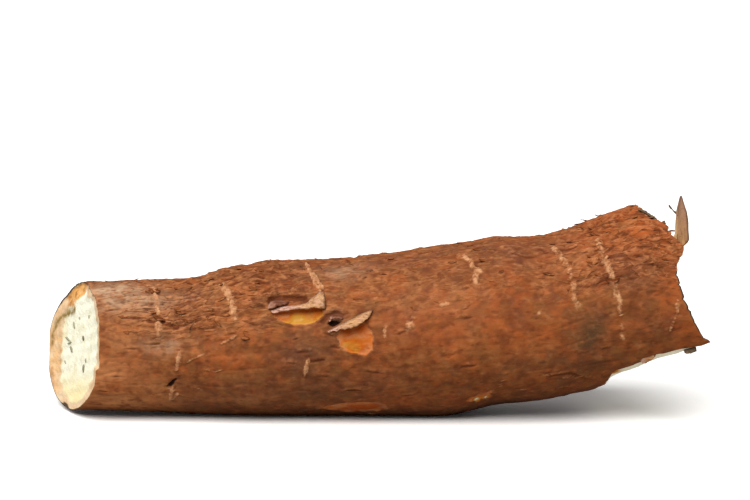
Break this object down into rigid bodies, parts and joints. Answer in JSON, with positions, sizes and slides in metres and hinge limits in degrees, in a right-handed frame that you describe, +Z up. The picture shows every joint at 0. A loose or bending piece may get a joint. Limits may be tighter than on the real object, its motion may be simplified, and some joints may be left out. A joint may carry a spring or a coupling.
{
  "type": "cassava root",
  "caption": "Swollen tapering root lying on its side, with flaky brown bark, a slanting knife cut at one end and a torn fracture with a pointed tongue at the other.",
  "frame": {"origin": "under the middle of the root's box, on the surface that it lies on", "axes": "+X along the root from the knife-cut end to the torn end, +Z up, -Y the front with the two torn windows in the bark"},
  "size_m": [0.2876, 0.077, 0.0978],
  "materials": {
    "bark": "matte flaky brown bark over cream-white flesh at the cut and torn ends"
  },
  "bodies": {
    "root": {"cassava_root": "bark"}
  },
  "joints": []
}
